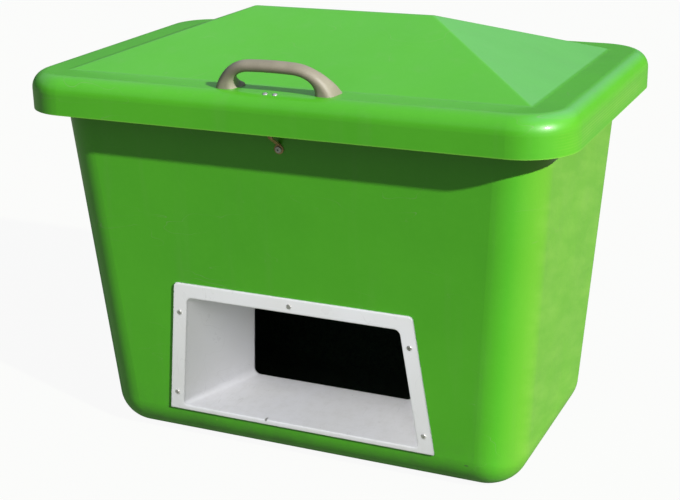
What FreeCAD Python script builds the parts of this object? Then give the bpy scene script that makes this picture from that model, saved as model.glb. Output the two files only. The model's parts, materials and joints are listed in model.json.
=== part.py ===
import FreeCAD, Part
import math
import os

from FreeCAD import Vector

# Grit and salt bin of about 200 litres: a tapered tub and an overlapping hinged lid,
# both laminated plastic, with a white dispensing chute let into the front.
# Millimetres. X runs to the right as seen from the front, Y to the back, Z up.
# The origin is on the floor, under the middle of the tub.

os.makedirs("parts", exist_ok=True)

# Lid moulding: a skirt, a flat border and a hipped roof. The lid's length and depth also
# set the size of the tub, which tapers down from the rim under the lid.
lid_length = 890.0
lid_depth = 562.0
lid_corner_radius = 84.0
lid_edge_radius = 26.0
lid_wall = 4.0
lid_skirt_height = 58.0
lid_seat_gap = 0.3
roof_end_border = 66.0
roof_side_border = 67.0
roof_hip_length = 226.5
roof_height = 79.0
roof_ridge_radius = 14.0
roof_foot_radius = 18.0

# Tub moulding. The drafts are in degrees from upright.
tub_end_draft = 4.06
tub_front_draft = 3.76
tub_corner_radius = 68.0
tub_floor_edge_radius = 60.0
tub_wall = 4.0
tub_floor_thickness = 5.0
tub_rim_height = 616.7

# Rim of the tub, turned outward and down to stiffen it and to carry the lid
rim_lip_drop = 40.0
rim_edge_radius = 16.0
rim_to_skirt_gap = 14.5
rim_end_overhang = 21.25
rim_front_overhang = 19.5

# Chute moulding: a flange on the front wall and a funnel that narrows to the mouth inside
chute_top_width = 410.0
chute_bottom_width = 470.0
chute_top_height = 289.5
chute_bottom_height = 57.0
chute_border = 25.0
chute_lip_height = 9.0
chute_wall = 3.0
chute_reach = 135.0
chute_upper_corner_radius = 8.0
chute_lower_corner_radius = 2.0
chute_opening_upper_radius = 10.0
chute_opening_lower_radius = 6.0
chute_edge_round = 1.8
mouth_top_width = 280.0
mouth_bottom_width = 293.0
mouth_bottom_height = 76.0
mouth_top_height = 225.0
mouth_corner_radius = 11.0
chute_cutout_clearance = 1.5

# Chute screws
chute_screw_diameter = 4.0
chute_screw_head_diameter = 8.0
chute_screw_head_height = 2.4
chute_screw_upper_height = 238.0
chute_screw_lower_height = 89.5

# Lift handle: a bow that leans forward on two wide feet. A squareness of 2 gives an oval
# cross-section, and more gives flatter sides. The spread says how late the bar grows into a foot.
handle_foot_spacing = 160.5
handle_bow_height = 41.0
handle_bend_reach = 48.5
handle_lean = 22.5
handle_foot_setback = 42.0
handle_foot_depth = 22.0
handle_bar_thickness = 15.8
handle_bar_width = 20.3
handle_foot_length = 33.5
handle_foot_width = 38.0
handle_foot_spread = 1.9
handle_bar_squareness = 2.3
handle_foot_squareness = 4.0
handle_bend_sections = 7
handle_section_points = 24
handle_screw_diameter = 5.0
handle_screw_head_diameter = 9.5
handle_screw_head_height = 2.5
handle_screw_setback = 50.0
handle_screw_tip_gap = 1.0
handle_insert_diameter = 7.0
handle_insert_length = 8.0

# Lock: a strip riveted under the lid and an eye on the tub, drilled alike for a padlock
lock_strip_width = 16.0
lock_strip_thickness = 2.0
lock_strip_setback = 11.0
lock_strip_end_radius = 7.6
lock_strip_past_rivets = 10.0
lock_eye_gap = 2.0
lock_eye_neck_width = 7.0
lock_eye_bend_below_hole = 10.5
lock_hole_diameter = 9.0
lock_hole_above_skirt = 4.0
lock_hole_to_end = 8.0
lock_plate_diameter = 15.0
lock_bolt_below_rim = 84.2
lock_bolt_diameter = 6.0
lock_bolt_head_diameter = 10.5
lock_bolt_head_height = 3.0
lock_rivet_spacing = 16.0
lock_rivet_setback = 20.0

# Rear hinges
hinge_spacing = 500.0
hinge_length = 80.0
hinge_knuckles = 5
hinge_knuckle_gap = 0.5
hinge_pin_diameter = 5.0
hinge_pin_clearance = 0.05
hinge_barrel_radius = 5.0
hinge_leaf_thickness = 2.5
hinge_below_skirt = 1.5
hinge_leaf_rise = 38.0
hinge_leaf_below_round = 1.0
hinge_rivet_rise = 33.0
hinge_pin_end_gap = 0.4
hinge_pin_end_length = 1.5
hinge_pin_end_radius = 4.0
hinge_bolt_spacing = 52.0
hinge_bolt_diameter = 5.0
hinge_bolt_head_diameter = 9.5
hinge_bolt_head_height = 2.5
hinge_rivet_spacing = 26.0

# Lid stay: a slotted arm pivoted on the lid, sliding on a guide pin in the tub
lid_open_angle = 95.0
stay_radius = 200.0
stay_guide_angle = 1.5
stay_rest_angle = 12.0
stay_to_wall = 4.0
stay_arm_thickness = 3.0
stay_arm_width = 18.0
stay_slot_clearance = 0.3
stay_slot_run_out = 6.0
stay_pivot_diameter = 6.0
stay_pivot_head_diameter = 12.0
stay_pivot_head_height = 3.0
stay_pivot_tail_diameter = 9.0
stay_pivot_tail_height = 2.0
stay_pivot_to_edge = 9.0
stay_guide_diameter = 7.0
stay_guide_head_diameter = 12.6
stay_guide_head_height = 3.5
stay_guide_to_edge = 10.5
stay_bracket_thickness = 2.5
stay_bracket_width = 40.0
stay_bracket_gap = 1.5
stay_foot_reach = 25.5
stay_wall_plate_drop = 12.0
stay_wall_plate_height = 25.0
stay_bolt_spacing = 24.0

# Rivets, and the clearances that all fasteners share
rivet_diameter = 4.0
rivet_head_diameter = 8.0
rivet_head_height = 2.0
rivet_tail_diameter = 6.0
rivet_tail_height = 1.0
hole_clearance = 0.25
thread_clearance = 0.025
thread_past_nut = 1.0

# Nuts and washers, as multiples of the thread's diameter
nut_width_ratio = 1.7
nut_height_ratio = 0.8
washer_width_ratio = 2.2
washer_thickness_ratio = 0.2

# Sockets and rounded heads: the socket's width as a multiple of the thread's diameter, and the
# other three as shares of the head's or the tail's height
socket_width_ratio = 0.6
socket_depth_share = 0.6
head_rounding_share = 0.45
tail_rounding_share = 0.4

# How far a cutting shape runs past the face that it cuts
cut_margin = 1.0

# Heights and half sizes that follow from the values above
lid_underside = tub_rim_height + lid_seat_gap
lid_top = lid_underside + lid_wall
skirt_bottom = lid_top - lid_skirt_height
lid_inner_half_length = lid_length / 2 - lid_wall
lid_inner_half_depth = lid_depth / 2 - lid_wall
rim_half_length = lid_inner_half_length - rim_to_skirt_gap
rim_half_depth = lid_inner_half_depth - rim_to_skirt_gap
rim_lip_bottom = tub_rim_height - rim_lip_drop
lock_bolt_height = tub_rim_height - lock_bolt_below_rim
roof_base_length = lid_length - 2 * roof_end_border
roof_base_depth = lid_depth - 2 * roof_side_border
end_slant = math.radians(tub_end_draft)
front_slant = math.radians(tub_front_draft)
front_normal = Vector(0, -math.cos(front_slant), -math.sin(front_slant))
hinge_axis_y = lid_inner_half_depth - hinge_barrel_radius
hinge_axis_z = skirt_bottom - hinge_below_skirt - hinge_barrel_radius


# Basic shapes

def level_corners(x, y, height):
    """Corners of a level rectangle from its half sizes, counterclockwise as seen from above."""
    return [Vector(x, -y, height), Vector(x, y, height), Vector(-x, y, height), Vector(-x, -y, height)]


def rounded_rectangle(length, depth, radius, height):
    """Closed outline of a rectangle with round corners, level, centred on the Z axis."""
    corners = level_corners(length / 2, depth / 2, height)
    return rounded_polygon(corners, [radius] * len(corners))


def rounded_polygon(corners, radii):
    """Closed outline through flat corner points, each corner rounded by a tangent arc."""
    ends = []
    arcs = []
    for index, corner in enumerate(corners):
        to_last = (corners[index - 1] - corner).normalize()
        to_next = (corners[(index + 1) % len(corners)] - corner).normalize()
        half_angle = to_last.getAngle(to_next) / 2
        middle = (to_last + to_next).normalize()
        radius = radii[index]
        tangent_length = radius / math.tan(half_angle)
        centre = corner + middle * (radius / math.sin(half_angle))
        start = corner + to_last * tangent_length
        end = corner + to_next * tangent_length
        arcs.append(Part.Arc(start, centre - middle * radius, end).toShape())
        ends.append((start, end))
    edges = []
    for index, arc in enumerate(arcs):
        edges.append(Part.makeLine(ends[index - 1][1], ends[index][0]))
        edges.append(arc)
    return Part.Wire(edges)


def loft(outlines):
    """Solid with straight sides between closed outlines."""
    return Part.makeLoft(outlines, True, True)


def prism(points, direction):
    """Solid made by pushing a flat polygon along a direction."""
    outline = Part.makePolygon(points + [points[0]])
    return Part.Face(outline).extrude(direction)


def flat_sided_solid(outlines):
    """Solid closed by flat faces, one for each list of corner points, listed counterclockwise
    as seen from outside."""
    faces = [Part.Face(Part.makePolygon(points + [points[0]])) for points in outlines]
    return Part.makeSolid(Part.makeShell(faces))


def box(x_range, y_range, z_range):
    size = [high - low for low, high in (x_range, y_range, z_range)]
    return Part.makeBox(size[0], size[1], size[2], Vector(x_range[0], y_range[0], z_range[0]))


def cylinder_between(start, end, radius):
    axis = end - start
    return Part.makeCylinder(radius, axis.Length, start, axis)


def round_edges(shape, radius, is_wanted):
    """Fillet the edges whose middle point passes the test."""
    chosen = [edge for edge in shape.Edges if is_wanted(edge)]
    return shape.makeFillet(radius, chosen)


def lies_level_at(height):
    def test(edge):
        bounds = edge.BoundBox
        return abs(bounds.ZMin - height) < 0.01 and abs(bounds.ZMax - height) < 0.01
    return test


def place(shape, point, direction):
    """Turn a shape made along +Z to a direction and move its origin to a point."""
    moved = shape.copy()
    moved.Placement = FreeCAD.Placement(point, FreeCAD.Rotation(Vector(0, 0, 1), direction))
    return moved


def save(name, shapes):
    """Write one node, made of one solid or of a group of separate solids."""
    group = shapes if isinstance(shapes, list) else [shapes]
    solids = [solid for shape in group for solid in shape.Solids]
    shape = solids[0] if len(solids) == 1 else Part.makeCompound(solids)
    shape.exportStep("parts/" + name + ".step")
    print(name, len(solids), "valid" if shape.isValid() else "NOT VALID", round(shape.Volume))


def bent_sheet(side, thickness, width):
    """Sheet folded along a flat polyline of points, thickened to one side, and as wide as
    the width vector, which is square to the polyline's plane."""
    across = width * (-1 / width.Length)
    normals = []
    for start, end in zip(side, side[1:]):
        normals.append((end - start).cross(across).normalize())
    offset = [side[0] + normals[0] * thickness]
    for index in range(1, len(side) - 1):
        middle = (normals[index - 1] + normals[index]).normalize()
        reach = thickness / math.cos(normals[index - 1].getAngle(normals[index]) / 2)
        offset.append(side[index] + middle * reach)
    offset.append(side[-1] + normals[-1] * thickness)
    return prism(side + offset[::-1], width)


# Fasteners, made along +Z with the underside of the head at the origin

def screw(shank_diameter, shank_length, head_diameter, head_height):
    """Pan head with a hexagon socket."""
    head = Part.makeCylinder(head_diameter / 2, head_height)
    head = round_edges(head, head_height * head_rounding_share, lies_level_at(head_height))
    socket_depth = head_height * socket_depth_share
    socket = hexagon(shank_diameter * socket_width_ratio, socket_depth)
    socket = socket.translated(Vector(0, 0, head_height - socket_depth))
    shank = Part.makeCylinder(shank_diameter / 2, shank_length, Vector(0, 0, -shank_length))
    return head.cut(socket).fuse(shank)


def rivet(shank_diameter, grip, head_diameter, head_height, tail_diameter, tail_height):
    """Domed head above the sheets, shank through them and a flat set tail below."""
    dome_radius = (head_height ** 2 + (head_diameter / 2) ** 2) / (2 * head_height)
    dome = Part.makeSphere(dome_radius, Vector(0, 0, head_height - dome_radius))
    head = dome.common(Part.makeCylinder(head_diameter, head_height))
    shank = Part.makeCylinder(shank_diameter / 2, grip, Vector(0, 0, -grip))
    tail = Part.makeCylinder(tail_diameter / 2, tail_height, Vector(0, 0, -grip - tail_height))
    tail = round_edges(tail, tail_height * tail_rounding_share, lies_level_at(-grip - tail_height))
    return head.fuse(shank).fuse(tail)


def small_rivet(grip):
    return rivet(rivet_diameter, grip, rivet_head_diameter, rivet_head_height, rivet_tail_diameter,
                 rivet_tail_height)


def hexagon(across_flats, height):
    radius = across_flats / math.sqrt(3)
    points = []
    for corner in range(6):
        angle = math.radians(60 * corner)
        points.append(Vector(radius * math.cos(angle), radius * math.sin(angle), 0))
    return prism(points, Vector(0, 0, height))


def nut(thread_diameter):
    """Hexagon nut standing on the origin."""
    height = thread_diameter * nut_height_ratio
    body = hexagon(thread_diameter * nut_width_ratio, height)
    return body.cut(Part.makeCylinder(thread_diameter / 2 + thread_clearance, height))


def washer(thread_diameter):
    """Flat washer standing on the origin."""
    thickness = washer_thickness(thread_diameter)
    ring = Part.makeCylinder(thread_diameter * washer_width_ratio / 2, thickness)
    return ring.cut(Part.makeCylinder(thread_diameter / 2 + hole_clearance, thickness))


def washer_thickness(thread_diameter):
    return thread_diameter * washer_thickness_ratio


def drill(shape, point, direction, diameter, depth):
    """Hole that starts ahead of the point and runs the given depth past it."""
    start = point - direction * diameter
    return shape.cut(Part.makeCylinder(diameter / 2, depth + diameter, start, direction))


def loose_hole(shape, point, direction, shank_diameter, depth):
    """Hole that a fastener's shank passes through freely."""
    return drill(shape, point, direction, shank_diameter + 2 * hole_clearance, depth)


def close_hole(shape, point, direction, shank_diameter, depth):
    """Hole that a pin fills."""
    return drill(shape, point, direction, shank_diameter + 2 * thread_clearance, depth)


# Tub

def tub_half_length(height):
    return rim_half_length - rim_end_overhang - (tub_rim_height - height) * math.tan(end_slant)


def tub_half_depth(height):
    return rim_half_depth - rim_front_overhang - (tub_rim_height - height) * math.tan(front_slant)


def tub_block(bottom, top, inset):
    """Tapered block of the tub's outline, drawn in by an inset, with rounded corners and lower edge."""
    low = level_corners(tub_half_length(bottom) - inset, tub_half_depth(bottom) - inset, bottom)
    high = level_corners(tub_half_length(top) - inset, tub_half_depth(top) - inset, top)
    outlines = [low[::-1], high]
    for index in range(len(low)):
        following = (index + 1) % len(low)
        outlines.append([low[index], low[following], high[following], high[index]])
    block = flat_sided_solid(outlines)
    is_upright = lambda edge: edge.BoundBox.ZLength > cut_margin
    block = round_edges(block, tub_corner_radius - inset, is_upright)
    return round_edges(block, tub_floor_edge_radius - inset, lies_level_at(bottom))


def rim_block(inset, top):
    """Block of the rim's outline, drawn in by an inset, with a rounded upper edge."""
    radius = lid_corner_radius - lid_wall - rim_to_skirt_gap - inset
    outline = rounded_rectangle(2 * (rim_half_length - inset), 2 * (rim_half_depth - inset), radius,
                                rim_lip_bottom)
    block = Part.Face(outline).extrude(Vector(0, 0, top - rim_lip_bottom))
    return round_edges(block, rim_edge_radius - inset, lies_level_at(top))


def tub_shell():
    outside = tub_block(0, tub_rim_height, 0)
    under_rim = rim_block(tub_wall, tub_rim_height - tub_wall).cut(outside)
    shell = outside.fuse(rim_block(0, tub_rim_height)).cut(under_rim)
    shell = shell.cut(tub_block(tub_floor_thickness, tub_rim_height, tub_wall))
    shell = shell.cut(chute_cutout())
    depth = 2 * tub_wall
    for point in chute_screw_points():
        shell = loose_hole(shell, point, front_normal * -1, chute_screw_diameter, depth)
    shell = loose_hole(shell, lock_bolt_point(), front_normal * -1, lock_bolt_diameter, depth)
    for point in hinge_bolt_points():
        shell = loose_hole(shell, point, Vector(0, -1, 0), hinge_bolt_diameter, depth)
    for point in stay_bolt_points():
        shell = loose_hole(shell, point, end_normal() * -1, hinge_bolt_diameter, depth)
    return shell


# Chute

def on_front_wall(x, height, stand_off):
    """Point on the front wall's outer face, moved out along the wall's normal."""
    return Vector(x, -tub_half_depth(height), height) + front_normal * stand_off


def chute_half_width(height):
    """Half width of the flange at a height: it narrows upward."""
    share = (height - chute_bottom_height) / (chute_top_height - chute_bottom_height)
    return (chute_bottom_width + (chute_top_width - chute_bottom_width) * share) / 2


def chute_opening(grow, stand_off):
    """Outline of the opening at the wall, grown outward on all sides."""
    bottom = chute_bottom_height + chute_lip_height - grow
    top = chute_top_height - chute_border + grow
    corners = []
    for side, height in ((1, bottom), (1, top), (-1, top), (-1, bottom)):
        x = chute_half_width(height) - chute_border + grow
        corners.append(on_front_wall(side * x, height, stand_off))
    lower = chute_opening_lower_radius + grow
    upper = chute_opening_upper_radius + grow
    return rounded_polygon(corners, [lower, upper, upper, lower])


def chute_mouth(grow):
    """Outline of the mouth inside the tub, upright, grown outward on all sides."""
    y = -tub_half_depth(mouth_bottom_height) + chute_reach
    bottom = mouth_bottom_height - grow
    top = mouth_top_height + grow
    corners = []
    for side, width, height in ((1, mouth_bottom_width, bottom), (1, mouth_top_width, top),
                                (-1, mouth_top_width, top), (-1, mouth_bottom_width, bottom)):
        corners.append(Vector(side * (width / 2 + grow), y, height))
    return rounded_polygon(corners, [mouth_corner_radius + grow] * len(corners))


def chute_cutout():
    outline = chute_opening(chute_wall + chute_cutout_clearance, tub_wall)
    return Part.Face(outline).extrude(front_normal * (-4 * tub_wall))


def chute_flange():
    corners = []
    for side, height in ((1, chute_bottom_height), (1, chute_top_height),
                         (-1, chute_top_height), (-1, chute_bottom_height)):
        corners.append(on_front_wall(side * chute_half_width(height), height, 0))
    outline = rounded_polygon(corners, [chute_lower_corner_radius, chute_upper_corner_radius,
                                        chute_upper_corner_radius, chute_lower_corner_radius])
    return Part.Face(outline).extrude(front_normal * chute_wall)


def is_on_flange_front(edge):
    middle = edge.CenterOfMass
    out = (middle - on_front_wall(0, 0, chute_wall)).dot(front_normal)
    return abs(out) < 0.01


def chute():
    funnel = loft([chute_opening(chute_wall, 0), chute_mouth(chute_wall)])
    hollow = loft([chute_opening(0, 0), chute_mouth(0)])
    passage = Part.Face(chute_opening(0, 0)).extrude(front_normal * (2 * chute_wall))
    shell = chute_flange().fuse(funnel).cut(hollow.fuse(passage))
    shell = round_edges(shell, chute_edge_round, is_on_flange_front)
    for point in chute_screw_points():
        front = point + front_normal * chute_wall
        shell = loose_hole(shell, front, front_normal * -1, chute_screw_diameter, 2 * chute_wall)
    return shell


def chute_screw_points():
    """Places on the wall behind the middle of the flange's border: one above, two at each side."""
    points = [on_front_wall(0, chute_top_height - chute_border / 2, 0)]
    for height in (chute_screw_upper_height, chute_screw_lower_height):
        x = chute_half_width(height) - chute_border / 2
        points.append(on_front_wall(-x, height, 0))
        points.append(on_front_wall(x, height, 0))
    return points


def chute_fasteners():
    nut_height = nut(chute_screw_diameter).BoundBox.ZLength
    inside = tub_wall + washer_thickness(chute_screw_diameter)
    shank_length = chute_wall + inside + nut_height + thread_past_nut
    screws = []
    washers = []
    nuts = []
    inward = front_normal * -1
    for point in chute_screw_points():
        made = screw(chute_screw_diameter, shank_length, chute_screw_head_diameter, chute_screw_head_height)
        screws.append(place(made, point + front_normal * chute_wall, front_normal))
        washers.append(place(washer(chute_screw_diameter), point + inward * tub_wall, inward))
        nuts.append(place(nut(chute_screw_diameter), point + inward * inside, inward))
    save("chute_screws", screws)
    save("chute_washers", washers)
    save("chute_nuts", nuts)


# Lid

def roof_block(inset, bottom):
    """Hipped roof with its four planes drawn in by an inset, standing on a level base."""
    side_slope = roof_height / (roof_base_depth / 2)
    end_slope = roof_height / roof_hip_length
    side_drop = inset * math.hypot(1, side_slope)
    end_drop = inset * math.hypot(1, end_slope)
    ridge = lid_top + roof_height - side_drop
    half_depth = (ridge - bottom) / side_slope
    half_length = roof_base_length / 2 + (lid_top - end_drop - bottom) / end_slope
    half_ridge = roof_base_length / 2 - (ridge + end_drop - lid_top) / end_slope
    corners = level_corners(half_length, half_depth, bottom)
    right = Vector(half_ridge, 0, ridge)
    left = Vector(-half_ridge, 0, ridge)
    outlines = [corners[::-1], [corners[0], corners[1], right], [corners[1], corners[2], left, right],
                [corners[2], corners[3], left], [corners[3], corners[0], right, left]]
    return flat_sided_solid(outlines)


def lid_rim_block(inset, bottom, top):
    length = lid_length - 2 * inset
    depth = lid_depth - 2 * inset
    outline = rounded_rectangle(length, depth, lid_corner_radius - inset, bottom)
    block = Part.Face(outline).extrude(Vector(0, 0, top - bottom))
    return round_edges(block, lid_edge_radius - inset, lies_level_at(top))


def is_roof_foot(edge):
    middle = edge.CenterOfMass
    within_length = abs(middle.x) < roof_base_length / 2 + cut_margin
    within_depth = abs(middle.y) < roof_base_depth / 2 + cut_margin
    return lies_level_at(lid_top)(edge) and within_length and within_depth


def lid_outside():
    """Border, skirt and roof in one, with the foot, the hips and the ridge of the roof rounded."""
    outside = lid_rim_block(0, skirt_bottom, lid_top).fuse(roof_block(0, lid_underside))
    outside = round_edges(outside, roof_foot_radius, is_roof_foot)
    half_way_up = lid_top + roof_height / 2
    return round_edges(outside, roof_ridge_radius, lambda edge: edge.BoundBox.ZMax > half_way_up)


def lid_shell():
    inside = lid_rim_block(lid_wall, skirt_bottom - cut_margin, lid_underside)
    inside = inside.fuse(roof_block(lid_wall, lid_underside - cut_margin))
    shell = lid_outside().cut(inside)
    for point in handle_screw_points():
        shell = loose_hole(shell, point, Vector(0, 0, 1), handle_screw_diameter, 2 * lid_wall)
    for point, direction in lock_rivet_places():
        shell = loose_hole(shell, point, direction * -1, rivet_diameter, lid_wall + cut_margin)
    for point in hinge_rivet_points():
        shell = loose_hole(shell, point, Vector(0, -1, 0), rivet_diameter, 2 * lid_wall)
    return shell


# Lift handle

def handle_section(side, turn, drop):
    """Cross-section of the bow where it has turned through an angle from one foot. It grows
    wider and squarer towards the foot."""
    along = side * (handle_foot_spacing / 2 - handle_bend_reach * (1 - math.cos(turn)))
    centre = Vector(along, 0, handle_bow_height * math.sin(turn) - drop)
    share = (1 - math.sin(turn)) ** handle_foot_spread
    half_thickness = (handle_bar_thickness + (handle_foot_length - handle_bar_thickness) * share) / 2
    half_width = (handle_bar_width + (handle_foot_width - handle_bar_width) * share) / 2
    squareness = handle_bar_squareness + (handle_foot_squareness - handle_bar_squareness) * share
    outward = Vector(side * math.cos(turn), 0, math.sin(turn))
    backward = Vector(0, side, 0)
    points = []
    for step in range(handle_section_points):
        angle = math.radians(360 * step / handle_section_points)
        cosine = math.cos(angle)
        sine = math.sin(angle)
        reach = (abs(cosine) ** squareness + abs(sine) ** squareness) ** (-1 / squareness)
        across = outward * (half_thickness * reach * cosine)
        points.append(centre + across + backward * (half_width * reach * sine))
    curve = Part.BSplineCurve()
    curve.interpolate(Points=points, PeriodicFlag=True)
    return Part.Wire([curve.toShape()])


def handle_bow():
    """Bow whose feet run down into the lid."""
    bends = range(handle_bend_sections)
    turns = [math.radians(90 * step / (handle_bend_sections - 1)) for step in bends]
    sections = [handle_section(-1, 0, handle_foot_depth)]
    sections += [handle_section(-1, turn, 0) for turn in turns]
    sections += [handle_section(1, turn, 0) for turn in turns[::-1]]
    sections.append(handle_section(1, 0, handle_foot_depth))
    bow = Part.makeLoft(sections, True, False)
    bow.rotate(Vector(0, 0, 0), Vector(1, 0, 0), handle_lean)
    bow.translate(Vector(0, -lid_depth / 2 + handle_foot_setback, lid_top))
    return bow


def lift_handle():
    bow = handle_bow().cut(lid_outside())
    for point in handle_screw_points():
        bow = drill(bow, point, Vector(0, 0, 1), handle_insert_diameter, lid_wall + handle_insert_length)
    return bow


def handle_screw_points():
    """Places under the lid where the screws start up into the feet."""
    y = -lid_depth / 2 + handle_screw_setback
    return [Vector(side * handle_foot_spacing / 2, y, lid_underside) for side in (-1, 1)]


def handle_fasteners():
    down = Vector(0, 0, -1)
    seat = Vector(0, 0, washer_thickness(handle_screw_diameter))
    shank_length = seat.z + lid_wall + handle_insert_length - handle_screw_tip_gap
    screws = []
    washers = []
    inserts = []
    thread_radius = handle_screw_diameter / 2 + thread_clearance
    for point in handle_screw_points():
        made = screw(handle_screw_diameter, shank_length, handle_screw_head_diameter,
                     handle_screw_head_height)
        screws.append(place(made, point - seat, down))
        washers.append(place(washer(handle_screw_diameter), point, down))
        insert = Part.makeCylinder(handle_insert_diameter / 2, handle_insert_length)
        insert = insert.cut(Part.makeCylinder(thread_radius, handle_insert_length))
        inserts.append(place(insert, point + Vector(0, 0, lid_wall), Vector(0, 0, 1)))
    save("handle_screws", screws)
    save("handle_washers", washers)
    save("handle_inserts", inserts)


# Lock

def lock_strip_face():
    """Y of the outer face of the strip that hangs behind the skirt."""
    return -lid_depth / 2 + lock_strip_setback


def lock_hole_height():
    return skirt_bottom + lock_hole_above_skirt


def lock_bend_axis():
    """Y and Z of the axis of the round inside edge along the front of the lid."""
    return -lid_depth / 2 + lid_edge_radius, lid_top - lid_edge_radius


def lid_lock_strip():
    """Strip that follows the round inside edge of the lid, then hangs straight down."""
    axis_y, axis_z = lock_bend_axis()
    outer_radius = lid_edge_radius - lid_wall
    inner_radius = outer_radius - lock_strip_thickness
    half_width = lock_strip_width / 2
    start = Vector(-half_width, axis_y, axis_z)
    ring = Part.makeCylinder(outer_radius, lock_strip_width, start, Vector(1, 0, 0))
    ring = ring.cut(Part.makeCylinder(inner_radius, lock_strip_width, start, Vector(1, 0, 0)))
    first = rivet_lean() - math.radians(lock_strip_past_rivets)
    face = lock_strip_face()
    middle_radius = (outer_radius + inner_radius) / 2
    last = math.asin((axis_y - face - lock_strip_thickness / 2) / middle_radius)
    reach = 2 * lid_edge_radius
    wedge = prism([Vector(-half_width, axis_y, axis_z),
                   Vector(-half_width, axis_y - reach * math.sin(first), axis_z + reach * math.cos(first)),
                   Vector(-half_width, axis_y - reach * math.sin(last), axis_z + reach * math.cos(last))],
                  Vector(lock_strip_width, 0, 0))
    top = axis_z + middle_radius * math.cos(last)
    bottom = lock_hole_height() - lock_hole_to_end
    leg = box((-half_width, half_width), (face, face + lock_strip_thickness), (bottom, top))
    leg = round_edges(leg, lock_strip_end_radius, lambda edge: runs_along_y_at(edge, bottom))
    shape = ring.common(wedge).fuse(leg)
    shape = drill(shape, Vector(0, face, lock_hole_height()), Vector(0, 1, 0), lock_hole_diameter,
                  2 * lock_strip_thickness)
    rivet_reach = lid_wall + 2 * lock_strip_thickness
    for point, direction in lock_rivet_places():
        shape = loose_hole(shape, point, direction * -1, rivet_diameter, rivet_reach)
    return shape


def runs_along_y_at(edge, height):
    bounds = edge.BoundBox
    return bounds.XLength < 0.01 and bounds.ZLength < 0.01 and abs(bounds.ZMin - height) < 0.01


def rivet_lean():
    """Angle from upright at which the lock rivets go through the round edge of the lid."""
    return math.asin((lid_edge_radius - lock_rivet_setback) / lid_edge_radius)


def lock_rivet_places():
    """Points on the lid's outer face and outward directions of the two lock rivets."""
    axis_y, axis_z = lock_bend_axis()
    lean = rivet_lean()
    direction = Vector(0, -math.sin(lean), math.cos(lean))
    places = []
    for side in (-1, 1):
        centre = Vector(side * lock_rivet_spacing / 2, axis_y, axis_z)
        places.append((centre + direction * lid_edge_radius, direction))
    return places


def lock_eye_face():
    """Y of the front face of the eye on the tub, just behind the strip on the lid."""
    return lock_strip_face() + lock_strip_thickness + lock_eye_gap


def lock_bolt_point():
    return on_front_wall(0, lock_bolt_height, 0)


def tub_lock_eye():
    """Round plate bolted to the front wall, with a narrow neck bent out and up to a round eye."""
    thickness = lock_strip_thickness
    back_y = lock_eye_face() + thickness
    hole_height = lock_hole_height()
    left = -lock_strip_width
    rear_side = [on_front_wall(left, lock_bolt_height - lock_plate_diameter, 0),
                 on_front_wall(left, lock_bolt_height + lock_plate_diameter / 2, 0),
                 Vector(left, back_y, hole_height - lock_eye_bend_below_hole),
                 Vector(left, back_y, hole_height + 2 * lock_hole_to_end)]
    sheet = bent_sheet(rear_side, thickness, Vector(2 * lock_strip_width, 0, 0))
    through = front_normal * thickness
    bolt_point = lock_bolt_point()
    plate = cylinder_between(bolt_point - through, bolt_point + through * 2, lock_plate_diameter / 2)
    half_neck = lock_eye_neck_width / 2
    neck = box((-half_neck, half_neck), (-lid_depth, 0), (lock_bolt_height, hole_height))
    eye_point = Vector(0, lock_eye_face(), hole_height)
    back = Vector(0, 1, 0)
    eye = cylinder_between(eye_point - back * thickness, eye_point + back * (2 * thickness), lock_hole_to_end)
    shape = sheet.common(neck.fuse(plate).fuse(eye))
    shape = drill(shape, eye_point, back, lock_hole_diameter, 2 * thickness)
    return loose_hole(shape, bolt_point + through, front_normal * -1, lock_bolt_diameter, 2 * thickness)


def lock_fasteners():
    point = lock_bolt_point()
    inside = tub_wall + washer_thickness(lock_bolt_diameter)
    nut_height = nut(lock_bolt_diameter).BoundBox.ZLength
    shank_length = lock_strip_thickness + inside + nut_height + thread_past_nut
    bolt = screw(lock_bolt_diameter, shank_length, lock_bolt_head_diameter, lock_bolt_head_height)
    inward = front_normal * -1
    save("lock_eye_bolt", place(bolt, point + front_normal * lock_strip_thickness, front_normal))
    save("lock_eye_washer", place(washer(lock_bolt_diameter), point + inward * tub_wall, inward))
    save("lock_eye_nut", place(nut(lock_bolt_diameter), point + inward * inside, inward))
    inner_radius = lid_edge_radius - lid_wall - lock_strip_thickness
    tail_seat = math.sqrt(inner_radius ** 2 - (rivet_tail_diameter / 2) ** 2)
    rivets = []
    for point, direction in lock_rivet_places():
        rivets.append(place(small_rivet(lid_edge_radius - tail_seat), point, direction))
    save("lock_strip_rivets", rivets)


# Rear hinges

def hinge_bolt_points():
    """Places on the rear lip's outer face where the tub leaves are bolted."""
    height = (rim_lip_bottom + tub_rim_height - rim_edge_radius) / 2
    points = []
    for hinge_side in (-1, 1):
        for bolt_side in (-1, 1):
            x = hinge_side * hinge_spacing / 2 + bolt_side * hinge_bolt_spacing / 2
            points.append(Vector(x, rim_half_depth, height))
    return points


def hinge_rivet_points():
    """Places on the rear skirt's outer face where the lid leaves are riveted."""
    height = hinge_axis_z + hinge_rivet_rise
    points = []
    for hinge_side in (-1, 1):
        for rivet_side in (-1, 1):
            x = hinge_side * hinge_spacing / 2 + rivet_side * hinge_rivet_spacing / 2
            points.append(Vector(x, lid_depth / 2, height))
    return points


def knuckles(hinge_x, first, radius, gap):
    """Every second length of the barrel, starting from the first or the second."""
    pitch = hinge_length / hinge_knuckles
    parts = []
    for index in range(first, hinge_knuckles, 2):
        start = hinge_x - hinge_length / 2 + index * pitch + gap / 2
        centre = Vector(start, hinge_axis_y, hinge_axis_z)
        parts.append(Part.makeCylinder(radius, pitch - gap, centre, Vector(1, 0, 0)))
    return parts


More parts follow.
